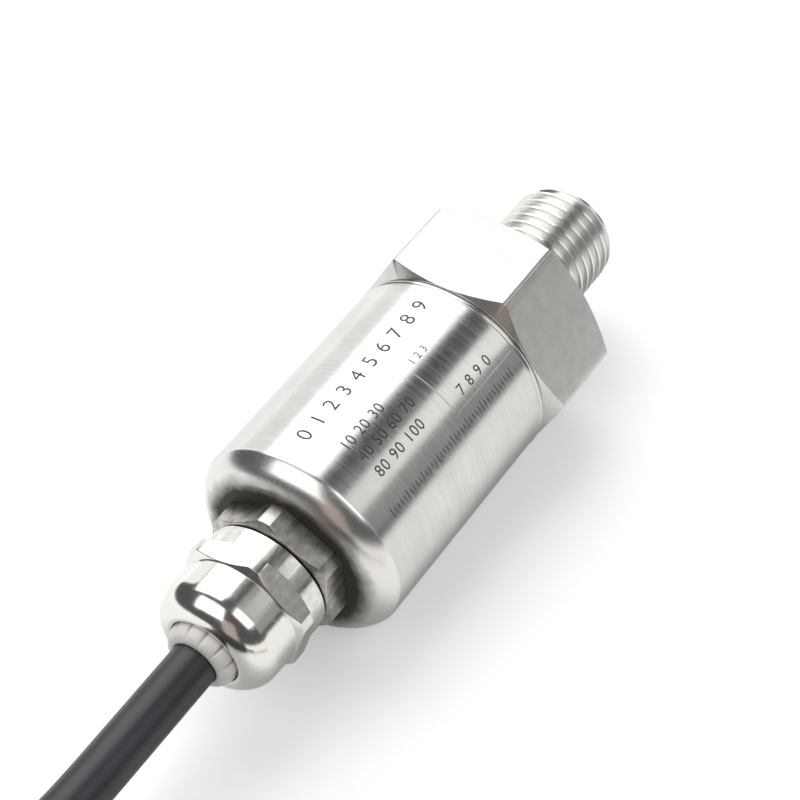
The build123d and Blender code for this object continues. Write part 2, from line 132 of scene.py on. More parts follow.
# %% Coil turns as more control points
points_per_turn = 16
turn_step = 2 * math.pi / points_per_turn
tail_angle = 1.5 * math.pi
crossing = math.radians(56)
swell = 1.3
turn_cells = [
    (outer_turn_r, top_turn_z),
    (outer_turn_r, high_layer_z),
    (inner_turn_r, high_layer_z),
    (inner_turn_r, low_layer_z),
    (outer_turn_r, low_layer_z),
]


def cell_at(angle):
    """The radius and height of the winding at an angle, counted on through all the turns."""
    turn = max(0, math.ceil((angle - tail_angle) / (2 * math.pi)))
    if turn == 0:
        return turn_cells[0]
    since = angle - tail_angle - (turn - 1) * 2 * math.pi
    share = min(1.0, since / crossing)
    smooth = share * share * (3 - 2 * share)
    before, after = turn_cells[turn - 1], turn_cells[turn]
    radius = before[0] + (after[0] - before[0]) * smooth
    height = before[1] + (after[1] - before[1]) * smooth
    if before[0] == after[0]:
        outwards = 1 if before[0] == outer_turn_r else -1
        radius += outwards * swell * math.sin(math.pi * share)
    return radius, height


cable_points = list(cable_route)
angle = coil_start + turn_step / 2
coil_end = tail_angle + 2 * math.pi * (len(turn_cells) - 1)
while angle < coil_end - turn_step / 4:
    turn_r, turn_z = cell_at(angle)
    corner_r = turn_r / math.cos(turn_step / 2)
    cable_points.append(
        (
            coil_center[0] + corner_r * math.cos(angle),
            coil_center[1] + corner_r * math.sin(angle),
            turn_z,
        )
    )
    angle += turn_step
tail_start, tail_end, tail_lift = 4.0, 40.0, 0.1
tail_y = coil_center[1] - outer_turn_r
for along in (tail_start, tail_end):
    cable_points.append((coil_center[0] + along, tail_y, low_layer_z + tail_lift))
print(len(cable_points), "points along the cable")

# %% [markdown]
# The points become one curve with a round bevel, as thick as the cable at each point.

# %% Cable curve
cable_curve = bpy.data.curves.new("cable_jacket", "CURVE")
cable_curve.dimensions = "3D"
cable_curve.resolution_u = 8
cable_curve.bevel_depth = 1.0
cable_curve.bevel_resolution = 7
cable_curve.use_fill_caps = True
cable_line = cable_curve.splines.new("NURBS")
cable_line.points.add(len(cable_points) - 1)
for spline_point, place in zip(cable_line.points, cable_points):
    spline_point.co = (place[0] * MM, place[1] * MM, place[2] * MM, 1.0)
    spline_point.radius = cable_d / 2 * MM
cable_line.order_u = 3
cable_line.use_endpoint_u = True
cable = in_scene("cable_run", cable_curve)
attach(cable, "transmitter")
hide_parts("cable", "cable_coil", "cable_tail")
print("cable curve with", cable_curve.resolution_u, "steps a point")

# %% [markdown]
# ## Helpers for materials
# Colours are written as they look on a screen, and the shader wants them linear, so one function
# turns them. Another adds a node, sets its values and links the nodes and sockets it is given.

# %% Colour and node helpers


def linear(code):
    """The linear colour of an sRGB hex value."""
    values = [int(code[i : i + 2], 16) / 255 for i in (1, 3, 5)]
    turned = [v / 12.92 if v <= 0.04045 else ((v + 0.055) / 1.055) ** 2.4 for v in values]
    return (*turned, 1.0)


def add(tree, kind, *places, **settings):
    """Adds a node. Places fill its inputs in order, and settings go to inputs or to the node. A
    node that is given for an input is linked by its first output."""
    made = tree.nodes.new(kind)
    named = {}
    for key, value in settings.items():
        label = key.replace("_", " ")
        if hasattr(made, key) and label not in made.inputs:
            setattr(made, key, value)
        else:
            named[label] = value
    for key, value in [*enumerate(places), *named.items()]:
        if isinstance(value, bpy.types.Node):
            value = value.outputs[0]
        if isinstance(value, bpy.types.NodeSocket):
            tree.links.new(value, made.inputs[key])
        else:
            made.inputs[key].default_value = value
    return made


def new_material(name):
    """An empty material, its node tree, and the object's own coordinates in that tree."""
    material = bpy.data.materials.new(name)
    material.use_nodes = True
    tree = material.node_tree
    tree.nodes.clear()
    place = add(tree, "ShaderNodeTexCoord").outputs["Object"]
    return material, tree, place


def close_material(tree, shader):
    """Links the shader to the material's output."""
    add(tree, "ShaderNodeOutputMaterial", Surface=shader)


# %% [markdown]
# ## Turned stainless steel
# The housing and the process connection are turned from 304 stainless steel. A lathe tool leaves
# rings round the axis, far finer than a tenth of a millimetre. They spread a reflection along the
# axis and leave it sharp around the tube, which is why the light lies on it in straight bands. The
# shader's anisotropy does this, with its tangent along the axis. Rings that fine don't show in the
# picture, so the noise that draws them is coarser than the real ones, with a wave every 0.28 mm.
# The thread is cut with the same tool, and is a little brighter. The faced and the milled surfaces
# have fine scratches along the axis and a soft cloudiness. The rounded end has painted shade round
# the gland: it is painted dark there, as a shaded recess, and clears towards the rim, where it is
# smoother too.

# %% Metals


def stretched_noise(tree, place, per_mm, detail=3.0, turn=(0.0, 0.0, 0.0)):
    """Noise with its own scale along each axis, in waves per millimetre."""
    moved = add(
        tree,
        "ShaderNodeMapping",
        Vector=place,
        Rotation=turn,
        Scale=tuple(v / MM for v in per_mm),
    )
    return add(tree, "ShaderNodeTexNoise", Vector=moved, Scale=1.0, Detail=detail)


def spread(tree, value, low, high, start=0.3, end=0.7):
    """Maps a value between start and end to a range. Noise mostly lies between 0.3 and 0.7."""
    return add(
        tree,
        "ShaderNodeMapRange",
        Value=value,
        From_Min=start,
        From_Max=end,
        To_Min=low,
        To_Max=high,
    )


def mixed(tree, share, low, high):
    """A colour between two sRGB hex colours."""
    blend = add(tree, "ShaderNodeMix", share, data_type="RGBA")
    blend.inputs[6].default_value = linear(low)
    blend.inputs[7].default_value = linear(high)
    return blend.outputs[2]


def off_axis(tree, place):
    """A place's X, its vector out from the X axis, and how long that vector is."""
    parts = add(tree, "ShaderNodeSeparateXYZ", place).outputs
    across = add(tree, "ShaderNodeCombineXYZ", Y=parts["Y"], Z=parts["Z"])
    reach = add(tree, "ShaderNodeVectorMath", across, operation="LENGTH").outputs["Value"]
    return parts["X"], across, reach


def surface(material, tree, height, depth, **settings):
    """Ends a material with a bump of that depth in millimetres and the shader's settings."""
    bump = add(tree, "ShaderNodeBump", Strength=1.0, Distance=depth * MM, Height=height)
    shader = add(tree, "ShaderNodeBsdfPrincipled", Normal=bump, **settings)
    close_material(tree, shader)
    return material


def turned_steel(name, dull, bright, roughness, ring_mm, depth, stretch):
    """Steel with the rings that a lathe leaves round the X axis."""
    material, tree, place = new_material(name)
    rings = stretched_noise(tree, place, (1 / ring_mm, 0.03, 0.03))
    clouds = stretched_noise(tree, place, (0.22, 0.22, 0.22), detail=2.0)
    pits = stretched_noise(tree, place, (1.6, 1.6, 1.6), detail=6.0)
    tone = add(tree, "ShaderNodeMath", rings, clouds, operation="ADD")
    axis = add(
        tree,
        "ShaderNodeVectorTransform",
        (1.0, 0.0, 0.0),
        vector_type="VECTOR",
        convert_from="OBJECT",
        convert_to="WORLD",
    )
    return surface(
        material,
        tree,
        add(tree, "ShaderNodeMath", rings, pits, operation="ADD"),
        depth,
        Base_Color=mixed(tree, spread(tree, tone, 0.0, 1.0, 0.6, 1.4), dull, bright),
        Roughness=spread(tree, rings, *roughness),
        Metallic=1.0,
        Tangent=axis,
        Anisotropic=stretch,
    )


def worked_steel(name, dull, bright, roughness, scratch_mm, depth, cloud_mm=2.5):
    """Metal with fine scratches along the axis and a soft cloudiness."""
    material, tree, place = new_material(name)
    scratches = [
        stretched_noise(tree, place, (0.3, 1 / scratch_mm, 1 / scratch_mm), 3.0, (0.3, turn, turn))
        for turn in (-0.22, 0.06, 0.34)
    ]
    summed = scratches[0]
    for more in scratches[1:]:
        summed = add(tree, "ShaderNodeMath", summed, more, operation="ADD")
    cloud = stretched_noise(tree, place, (1 / cloud_mm,) * 3, detail=4.0)
    return surface(
        material,
        tree,
        summed,
        depth,
        Base_Color=mixed(tree, spread(tree, cloud, 0.0, 1.0), dull, bright),
        Roughness=spread(tree, summed, *roughness, 1.2, 1.8),
        Metallic=1.0,
    )


turned_stainless = turned_steel(
    "fine_turned_304_stainless", "#c9c7c4", "#dad8d5", (0.21, 0.28), 0.28, 0.00035, 0.6
)
thread_stainless = turned_steel(
    "cut_304_stainless_thread", "#dad8d5", "#e8e6e3", (0.22, 0.30), 0.28, 0.0005, 0.3
)
faced_stainless = worked_steel(
    "faced_304_stainless", "#99958f", "#b9b6b1", (0.30, 0.42), 0.3, 0.002
)


def painted_shade_steel(name, dark, light, start_mm, end_mm, roughness, grain_share, depth, blotch_mm):
    """Ground steel, painted dark as shade and rough near the axis, clearing between two radii."""
    material, tree, place = new_material(name)
    reach = off_axis(tree, place)[2]
    blotch = stretched_noise(tree, place, (0.5, 0.5, 0.5), detail=5.0)
    offset = add(tree, "ShaderNodeMath", blotch, blotch_mm * MM, reach, operation="MULTIPLY_ADD")
    start, end = ((v + blotch_mm / 2) * MM for v in (start_mm, end_mm))
    share = spread(tree, offset, 0.0, 1.0, start, end)
    grain = stretched_noise(tree, place, (3.0, 3.0, 3.0), detail=5.0)
    base_rough = spread(tree, share, roughness[1], roughness[0], 0.0, 1.0)
    rough = add(tree, "ShaderNodeMath", grain, grain_share, base_rough, operation="MULTIPLY_ADD")
    return surface(
        material,
        tree,
        grain,
        depth,
        Base_Color=mixed(tree, share, dark, light),
        Roughness=rough,
        Metallic=1.0,
    )


# Painted shade: the housing's end is painted dark round the gland and clears between these radii.
painted_shade_stainless = painted_shade_steel(
    "painted_shade_304_stainless_end",
    "#514e4a",
    "#e0dedb",
    start_mm=9.6,
    end_mm=11.8,
    roughness=(0.19, 0.55),
    grain_share=0.12,
    depth=0.0016,
    blotch_mm=1.6,
)
milled_stainless = worked_steel(
    "milled_304_stainless_flats", "#bfbdb9", "#cbc9c6", (0.28, 0.40), 0.3, 0.0012, 1.6
)
steels = (turned_stainless, thread_stainless, faced_stainless, painted_shade_stainless, milled_stainless)
print("stainless finishes:", [finish.name for finish in steels])

# %% [markdown]
# ## Nickel plate
# The gland is brass with a nickel plate. Its body is tumbled, so it is satin with many fine
# scratches. The dome nut is polished before plating, so it is close to a mirror, with the very
# shallow waves that a polishing wheel leaves, and its collar and hexagon are only bright. Nickel
# is a little warmer than steel.

# %% Nickel finishes
satin_nickel = worked_steel(
    "tumbled_nickel_plate", "#98948d", "#cfccc6", (0.26, 0.36), 0.14, 0.0002, 1.2
)


def mirror_plate(name, color_code, roughness, wave_mm, depth):
    """Polished plate: nearly a mirror, with shallow waves and a few hairlines."""
    material, tree, place = new_material(name)
    waves = stretched_noise(tree, place, (1 / wave_mm,) * 3, detail=1.0)
    hairlines = stretched_noise(tree, place, (3.0, 3.0, 0.3), 3.0, (0.2, 0.9, 0.4))
    return surface(
        material,
        tree,
        waves,
        depth,
        Base_Color=linear(color_code),
        Roughness=spread(tree, hairlines, *roughness, 0.55, 0.75),
        Metallic=1.0,
    )


polished_nickel = mirror_plate("polished_nickel_plate", "#e4e2dd", (0.15, 0.25), 2.2, 0.007)
bright_nickel = worked_steel(
    "bright_nickel_plate", "#cfccc6", "#e6e4df", (0.12, 0.26), 0.2, 0.001, 1.0
)
print("nickel finishes:", satin_nickel.name, polished_nickel.name, bright_nickel.name)

# %% [markdown]
# ## Nylon, rubber and the cable's jacket
# The clamp cage is natural nylon: off-white, and light enters it a little way. The jacket is soft
# matt PVC, nearly black with a trace of blue. Rubber is darker and duller.

# %% Plastics and rubber


def moulded_plastic(name, dull, bright, roughness, grain_mm, depth, **shader_settings):
    """Plastic with a fine moulded grain and a slight change of tone."""
    material, tree, place = new_material(name)
    grain = stretched_noise(tree, place, (1 / grain_mm,) * 3, detail=4.0)
    tone = stretched_noise(tree, place, (0.12,) * 3, detail=2.0)
    return surface(
        material,
        tree,
        grain,
        depth,
        Base_Color=mixed(tree, spread(tree, tone, 0.0, 1.0), dull, bright),
        Roughness=spread(tree, grain, *roughness),
        **shader_settings,
    )


natural_nylon = moulded_plastic(
    "natural_nylon",
    "#e2dfda",
    "#efece8",
    (0.38, 0.5),
    0.5,
    0.02,
    IOR=1.53,
    Subsurface_Weight=0.15,
    Subsurface_Radius=(0.8, 0.7, 0.6),
    Subsurface_Scale=0.6 * MM,
)
jacket_pvc = moulded_plastic(
    "matt_pvc_jacket", "#212227", "#2b2c33", (0.34, 0.44), 0.22, 0.006, IOR=1.55
)
seal_rubber = moulded_plastic(
    "nitrile_rubber", "#161616", "#1e1e1e", (0.5, 0.62), 0.25, 0.006, IOR=1.52
)
cable_curve.materials.append(jacket_pvc)
print("plastics:", natural_nylon.name, jacket_pvc.name, seal_rubber.name)

# %% [markdown]
# ## Turned and hexagonal pieces
# Nearly everything here is a section turned about one axis, and a hexagon is the same section
# with a reach that changes round the axis. So one function makes them all: it asks for the closed
# outline at each angle and joins the outlines into a ring of faces. The rows then follow the
# curved edges where a hexagon's flats meet its cone, and those edges stay crisp. The angles are
# counted from the top towards the viewer's right.

# %% Outlines and rings
sharp_angle = math.radians(50)
most_of_a_side = 0.45


def soften(outline, steps=3):
    """Rounds the corners of a closed outline of (x, r, rounding, finish) rows."""
    rows = []
    for i, (x, r, rounding, finish) in enumerate(outline):
        corner = Vector((x, r))
        to_last = Vector(outline[i - 1][:2]) - corner
        to_next = Vector(outline[(i + 1) % len(outline)][:2]) - corner
        if rounding == 0:
            rows.append((x, r, finish))
            continue
        cut = min(rounding, most_of_a_side * min(to_last.length, to_next.length))
        start = corner + to_last.normalized() * cut
        end = corner + to_next.normalized() * cut
        for step in range(steps):
            t = step / (steps - 1)
            on_arc = start.lerp(corner, t).lerp(corner.lerp(end, t), t)
            rows.append((on_arc.x, on_arc.y, finish))
    return rows


def even_angles(count):
    """Angles at an even spacing all the way round, in radians."""
    return [2 * math.pi * i / count for i in range(count)]


def plain_mesh(name, work):
    """A named mesh from a bmesh, which is then freed."""
    made = bpy.data.meshes.new(name)
    work.to_mesh(made)
    work.free()
    return made


def turn_mesh(name, outline_at, angles):
    """A mesh from the closed outline at each angle. Outlines have the same rows at all angles."""
    mesh = bmesh.new()
    rings = []
    for angle in angles:
        rows = soften(outline_at(angle))
        rings.append(
            [
                mesh.verts.new((x * MM, -r * math.sin(angle) * MM, r * math.cos(angle) * MM))
                for x, r, finish in rows
            ]
        )
    finishes = [row[2] for row in rows]
    count = len(finishes)
    for ring, following in zip(rings, rings[1:] + rings[:1]):
        for i in range(count):
            j = (i + 1) % count
            face = mesh.faces.new((ring[i], ring[j], following[j], following[i]))
            face.material_index = finishes[i]
            face.smooth = True
    bmesh.ops.recalc_face_normals(mesh, faces=mesh.faces)
    made = plain_mesh(name, mesh)
    made.set_sharp_from_angle(angle=sharp_angle)
    return made


def put(name, mesh, body, finishes, replaced):
    """An object for a finished mesh, on its body, with its finishes and what it stands for."""
    piece = in_scene(name, mesh)
    numbers = [min(face.material_index, len(finishes) - 1) for face in mesh.polygons]
    mesh.materials.clear()
    for finish in finishes:
        mesh.materials.append(finish)
    mesh.polygons.foreach_set("material_index", numbers)
    weighted = piece.modifiers.new("flat faces stay flat", "WEIGHTED_NORMAL")
    weighted.keep_sharp = True
    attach(piece, body)
    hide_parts(*replaced)
    print(name, len(mesh.polygons), "faces")


# %% [markdown]
# A hexagon's flats come to a corner that the lathe has cut back to a narrow round strip, and the
# flats end at a cone at 30 degrees. The reach of the hexagon at an angle is the flat's distance
# over the cosine, and no more than the corner's radius. The strips are a little narrower here than
# in the CAD, as they look on the real piece, so the corners stand 0.16 mm further out.

# %% Hexagon helpers
chamfer_slope = math.tan(math.radians(30))
flat_steps = (4, 8, 12, 16, 19, 22, 24.5)


def hexagon_reach(angle, corner_angle, flats, corner_r):
    """How far a hexagon reaches at an angle, with one corner at corner_angle."""
    off_flat = (angle - corner_angle) % (math.pi / 3) - math.pi / 6
    return min(corner_r, flats / 2 / math.cos(off_flat))


def hexagon_angles(corner_angle, flats, corner_r, blend_mm=0.09):
    """Angles round a hexagon: each flat's steps, both sides of each strip's edge, the corners."""
    strip = math.acos(flats / 2 / corner_r)
    blend = blend_mm / corner_r
    half = [0.0] + [math.radians(a) for a in flat_steps]
    half += [strip - blend, strip + blend]
    offsets = [-a for a in reversed(half)] + half[1:] + [math.pi / 6]
    middles = [corner_angle + math.pi / 6 + k * math.pi / 3 for k in range(6)]
    return [middle + offset for middle in middles for offset in offsets]


def cone_x(end, inwards, reach, face_r):
    """Where the end cone of a hexagon meets that reach. Inwards is the way from the end."""
    return end + inwards * (reach - face_r) * chamfer_slope


# %% [markdown]
# ## The process connection
# One piece of steel: the 27 mm hexagon, the M14 x 1.5 thread and, inside, the port and the sensor's
# cavity. The section is turned with the thread's core, and the thread itself is a ridge that is
# wound round it next.

# %% Process connection
hex_flats, hex_corner_r, hex_face_r, hex_back = 27.0, 15.46, 13.3, -13.0
thread_r, thread_core_r, thread_end, thread_tip_r = 7.0, 6.08, 16.0, 6.0
port_r, port_floor, cavity_r, cell_seat = 1.75, -4.5, 9.55, -5.0
chamber_r, spigot_r, spigot_back, port_mouth = 8.4, 12.22, -19.0, 0.4
core_start = thread_end - (thread_core_r - thread_tip_r) / chamfer_slope
hex_turn = math.radians(90)
TURNED, FLAT, FACED, THREAD = 0, 1, 2, 3


def process_outline(angle):
    """The section of the process connection at an angle."""
    reach = hexagon_reach(angle, hex_turn, hex_flats, hex_corner_r)
    return [
        (thread_end, port_r + port_mouth, 0.05, FACED),
        (thread_end, thread_tip_r, 0.06, TURNED),
        (core_start, thread_core_r, 0, THREAD),
        (0.0, thread_core_r, 0, FACED),
        (0.0, hex_face_r, 0.08, TURNED),
        (cone_x(0.0, -1, reach, hex_face_r), reach, 0.08, FLAT),
        (cone_x(hex_back, 1, reach, hex_face_r), reach, 0.08, TURNED),
        (hex_back, hex_face_r, 0.06, FACED),
        (hex_back, spigot_r, 0, TURNED),
        (spigot_back, spigot_r, 0.1, FACED),
        (spigot_back, cavity_r, 0.1, TURNED),
        (cell_seat, cavity_r, 0, FACED),
        (cell_seat, chamber_r, 0, FACED),
        (port_floor, chamber_r, 0, FACED),
        (port_floor, port_r, 0, TURNED),
        (thread_end - port_mouth, port_r, 0.05, TURNED),
    ]


process_mesh = turn_mesh(
    "process_connection_turned",
    process_outline,
    hexagon_angles(hex_turn, hex_flats, hex_corner_r),
)
print("process connection:", len(process_mesh.polygons), "faces before its thread")

# %% [markdown]
# ## A thread by Geometry Nodes
# A thread is a ridge that follows a helix, so a node tree makes it: a spiral carries a trapezoid
# section, the ridge is cut down to the cone at the thread's tip, and it is laid along X. The same
# tree makes the gland's thread, which shows when the nut is undone.

# %% Thread tree
foot_of_pitch, crest_of_pitch, root_sink = 0.86, 0.24, 0.08


def new_tree(name, **inputs):
    """A geometry node tree with those inputs, by name and kind, and what its input node gives."""
    tree = bpy.data.node_groups.new(name, "GeometryNodeTree")
    tree.interface.new_socket("Geometry", in_out="OUTPUT", socket_type="NodeSocketGeometry")
    for key, kind in inputs.items():
        label = key.replace("_", " ")
        tree.interface.new_socket(label, in_out="INPUT", socket_type="NodeSocket" + kind)
    return tree, add(tree, "NodeGroupInput").outputs


def close_tree(tree, made, finish):
    """Makes the instances real, gives them one material and ends the tree."""
    real = add(tree, "GeometryNodeRealizeInstances", made)
    done = add(tree, "GeometryNodeSetMaterial", real, Material=finish)
    add(tree, "NodeGroupOutput", done)
    return tree


def thread_tree():
    """Spiral, trapezoid section, cut at the tip cone, laid along X, one finish."""
    sizes = ("Core_radius", "Depth", "Pitch", "Length", "Tip_radius", "Tip_place")
    tree, given = new_tree("thread_ridge", **dict.fromkeys(sizes, "Float"), Finish="Material")
    turns = add(tree, "ShaderNodeMath", given["Length"], given["Pitch"], operation="DIVIDE")
    spiral = add(
        tree,
        "GeometryNodeCurveSpiral",
        Resolution=96,
        Rotations=turns,
        Start_Radius=given["Core radius"],
        End_Radius=given["Core radius"],
        Height=given["Length"],
    )
    upright = add(tree, "GeometryNodeSetCurveNormal", spiral, mode="Z_UP")
    base = add(tree, "ShaderNodeMath", given["Pitch"], foot_of_pitch, operation="MULTIPLY")
    crest = add(tree, "ShaderNodeMath", given["Pitch"], crest_of_pitch, operation="MULTIPLY")
    section = add(
        tree,
        "GeometryNodeCurvePrimitiveQuadrilateral",
        mode="TRAPEZOID",
        Height=given["Depth"],
        Bottom_Width=base,
        Top_Width=crest,
        Offset=0.0,
    )
    half_depth = add(tree, "ShaderNodeMath", given["Depth"], 0.5, operation="MULTIPLY")
    shift = add(tree, "ShaderNodeCombineXYZ", Y=half_depth)
    raised = add(tree, "GeometryNodeTransform", section, Translation=shift)
    turned = add(tree, "GeometryNodeTransform", raised, Rotation=(0.0, 0.0, math.pi / 2))
    ridge = add(
        tree,
        "GeometryNodeCurveToMesh",
        Curve=upright,
        Profile_Curve=turned,
        Fill_Caps=True,
    )
    laid = add(tree, "GeometryNodeTransform", ridge, Rotation=(0.0, math.pi / 2, 0.0))
    spot = add(tree, "GeometryNodeInputPosition")
    x, across, reach = off_axis(tree, spot)
    to_tip = add(tree, "ShaderNodeMath", given["Tip place"], x, operation="SUBTRACT")
    allowed = add(
        tree,
        "ShaderNodeMath",
        to_tip,
        chamfer_slope,
        given["Tip radius"],
        operation="MULTIPLY_ADD",
    )
    share = add(tree, "ShaderNodeMath", allowed, reach, operation="DIVIDE")
    share = add(tree, "ShaderNodeMath", share, 1.0, operation="MINIMUM")
    cut = add(tree, "ShaderNodeVectorMath", across, operation="SCALE", Scale=share)
    along = add(tree, "ShaderNodeCombineXYZ", X=x)
    target = add(tree, "ShaderNodeVectorMath", cut, along, operation="ADD")
    placed = add(tree, "GeometryNodeSetPosition", laid, Position=target)
    return close_tree(tree, placed, given["Finish"])


def grow(tree, source, **inputs):
    """Runs a node tree on a mesh and gives back the plain mesh that it makes."""
    carrier = in_scene("carrier", source)
    modifier = carrier.modifiers.new("tree", "NODES")
    modifier.node_group = tree
    sockets = {
        item.name: item.identifier
        for item in tree.interface.items_tree
        if item.item_type == "SOCKET" and item.in_out == "INPUT"
    }
    for key, value in inputs.items():
        modifier[sockets[key.replace("_", " ")]] = value
    bpy.context.view_layer.update()
    evaluated = carrier.evaluated_get(bpy.context.evaluated_depsgraph_get())
    made = bpy.data.meshes.new_from_object(evaluated)
    carrier.modifiers.remove(modifier)
    bpy.data.objects.remove(carrier)
    return made


def join_meshes(name, *meshes, finish=0):
    """One mesh from several. Those after the first take the given finish."""
    whole = bmesh.new()
    for i, mesh in enumerate(meshes):
        before = len(whole.faces)
        whole.from_mesh(mesh)
        whole.faces.ensure_lookup_table()
        if i:
            for face in whole.faces[before:]:
                face.material_index = finish
                face.smooth = True
    made = plain_mesh(name, whole)
    made.set_sharp_from_angle(angle=sharp_angle)
    return made


def wind_thread(core_r, crest_r, pitch, start, length, tip_r, tip_x, finish):
    """A thread's ridge, from start along +X, with its foot sunk a little in the core."""
    ridge = grow(
        thread_ridge_tree,
        bpy.data.meshes.new("empty"),
        Core_radius=(core_r - root_sink) * MM,
        Depth=(crest_r - core_r + root_sink) * MM,
        Pitch=pitch * MM,
        Length=length * MM,
        Tip_radius=tip_r * MM,
        Tip_place=(tip_x - start) * MM,
        Finish=finish,
    )
    ridge.transform(Matrix.Translation((start * MM, 0, 0)))
    mesh = bmesh.new()
    mesh.from_mesh(ridge)
    bmesh.ops.remove_doubles(mesh, verts=mesh.verts, dist=1e-7)
    bmesh.ops.recalc_face_normals(mesh, faces=mesh.faces)
    mesh.to_mesh(ridge)
    mesh.free()
    return ridge


thread_ridge_tree = thread_tree()
process_thread = wind_thread(
    thread_core_r,
    thread_r,
    pitch=1.5,
    start=-0.6,
    length=15.9,
    tip_r=thread_tip_r,
    tip_x=thread_end,
    finish=thread_stainless,
)
thread_reach = max(math.hypot(v.co.y, v.co.z) for v in process_thread.vertices)
print("thread ridge:", len(process_thread.polygons), "faces, reach", round(thread_reach / MM, 3))
put(
    "process_connection_steel",
    join_meshes("process_connection_steel", process_mesh, process_thread, finish=THREAD),
    "transmitter",
    [turned_stainless, milled_stainless, faced_stainless, thread_stainless],
    ["process_connection"],
)

# %% [markdown]
# ## The housing
# A cup of thin steel tube with a rounded shoulder and a flat end wall. The shoulder is an arc in
# the CAD, and here it gets more steps, because its reflections bend there. The tube's front edge
# is welded to the hexagon: a fine bead stands a tenth of a millimetre proud behind the joint.

# %% Housing
tube_r, tube_front, tube_back, end_face = 13.5, -13.12, -44.2, -47.05
tube_bore_r, end_wall_inside = 12.25, -42.6
seat_r, seat_depth, gland_hole_r, tube_lip = 7.4, 1.2, 6.05, 0.1
shoulder_mid, shoulder_drop, shoulder_steps = (1.65, 1.0), 2.9, 10


def arc_through(first, middle, last, steps):
    """Points on the circle through three points, from the first to the last."""
    a, b, c = (Vector(p) for p in (first, middle, last))
    d = 2 * (a.x * (b.y - c.y) + b.x * (c.y - a.y) + c.x * (a.y - b.y))
    squares = [p.length_squared for p in (a, b, c)]
    center = Vector(
        (
            (squares[0] * (b.y - c.y) + squares[1] * (c.y - a.y) + squares[2] * (a.y - b.y)) / d,
            (squares[0] * (c.x - b.x) + squares[1] * (a.x - c.x) + squares[2] * (b.x - a.x)) / d,
        )
    )
    start = math.atan2(a.y - center.y, a.x - center.x)
    end = math.atan2(c.y - center.y, c.x - center.x)
    radius = (a - center).length
    return [
        (
            center.x + radius * math.cos(start + (end - start) * i / steps),
            center.y + radius * math.sin(start + (end - start) * i / steps),
        )
        for i in range(steps + 1)
    ]


shoulder = arc_through(
    (tube_back, tube_r),
    (tube_back - shoulder_mid[0], tube_r - shoulder_mid[1]),
    (end_face, tube_r - shoulder_drop),
    shoulder_steps,
)
print("shoulder from", shoulder[0], "to", [round(v, 2) for v in shoulder[-1]])
SHELL_TURNED, SHELL_END, SHELL_FACED = 0, 1, 2

# The bead's rows: how far behind the tube's front edge, how proud of the tube, and their rounding
bead_rows = [
    (0.12, 0.02, 0.06),
    (0.36, 0.09, 0.08),
    (0.60, 0.02, 0.03),
    (0.68, -0.05, 0.02),
    (0.78, 0.0, 0.04),
]


def housing_outline(angle):
    """The section of the housing, the same all the way round."""
    outside = [
        (tube_front - back, tube_r + rise, rounding, SHELL_TURNED)
        for back, rise, rounding in bead_rows
    ]
    outside += [(x, r, 0, SHELL_END) for x, r in shoulder[:-1]]
    return outside + [
        (*shoulder[-1], 0.12, SHELL_END),
        (end_face, seat_r, 0.05, SHELL_FACED),
        (end_face + seat_depth, seat_r, 0, SHELL_FACED),
        (end_face + seat_depth, gland_hole_r, 0.05, SHELL_FACED),
        (end_wall_inside, gland_hole_r, 0.05, SHELL_FACED),
        (end_wall_inside, tube_bore_r, 0, SHELL_TURNED),
        (tube_front, tube_bore_r, 0.05, SHELL_FACED),
        (tube_front, tube_r - tube_lip, 0.05, SHELL_TURNED),
    ]


put(
    "housing_steel",
    turn_mesh("housing_steel", housing_outline, even_angles(144)),
    "transmitter",
    [turned_stainless, painted_shade_stainless, faced_stainless],
    ["housing_shell"],
)

# %% [markdown]
# ## The gland's body
# A short hexagon between two threads. The rear thread is hidden in the housing and stays plain, and
# the front one is inside the nut. That one has no cone at its tip, so the thread tree gets a tip
# radius that is far too large to cut anything.

# %% Gland body
gland_flats, gland_corner_r, gland_face_r, gland_front = 15.8, 8.70, 7.7, -50.5
gland_inside, gland_tip, cable_bore_r, seal_bore_r, seal_seat = -41.05, -56.0, 3.3, 5.75, -51.0
gland_thread_r, nut_thread_r, nut_thread_core_r, seal_chamfer = 6.0, 6.5, 6.02, 0.3
untouched_r, seal_mouth = 20.0, 0.2


def gland_outline(angle):
    """The section of the gland body at an angle. Its corners are up and down."""
    reach = hexagon_reach(angle, 0.0, gland_flats, gland_corner_r)
    return [
        (gland_inside, cable_bore_r, 0.05, 0),
        (gland_inside, gland_thread_r, 0.1, 0),
        (end_face, gland_thread_r, 0, 0),
        (end_face, reach, 0.06, 0),
        (cone_x(gland_front, 1, reach, gland_face_r), reach, 0.06, 0),
        (gland_front, gland_face_r, 0.06, 0),
        (gland_front, nut_thread_core_r, 0, 0),
        (gland_tip, nut_thread_core_r, 0.1, 0),
        (gland_tip, seal_bore_r + seal_mouth, 0.04, 0),
        (gland_tip + seal_chamfer, seal_bore_r, 0, 0),
        (seal_seat, seal_bore_r, 0, 0),
        (seal_seat, cable_bore_r, 0.05, 0),
    ]


gland_mesh = turn_mesh(
    "gland_body_turned",
    gland_outline,
    hexagon_angles(0.0, gland_flats, gland_corner_r, blend_mm=0.06),
)
nut_thread = wind_thread(
    nut_thread_core_r,
    nut_thread_r,
    pitch=0.75,
    start=gland_tip + seal_chamfer,
    length=4.9,
    tip_r=untouched_r,
    tip_x=0.0,
    finish=satin_nickel,
)
put(
    "gland_body_nickel",
    join_meshes("gland_body_nickel", gland_mesh, nut_thread),
    "transmitter",
    [satin_nickel],
    ["gland_body"],
)

# %% [markdown]
# ## The dome nut
# A collar, a hexagon and a dome in one piece, polished and plated. Its hexagon stands where the
# nut was tightened, a corner 18 degrees to the right of the top. Inside are the thread's bore, the
# shoulder and the cone that closes the cage.

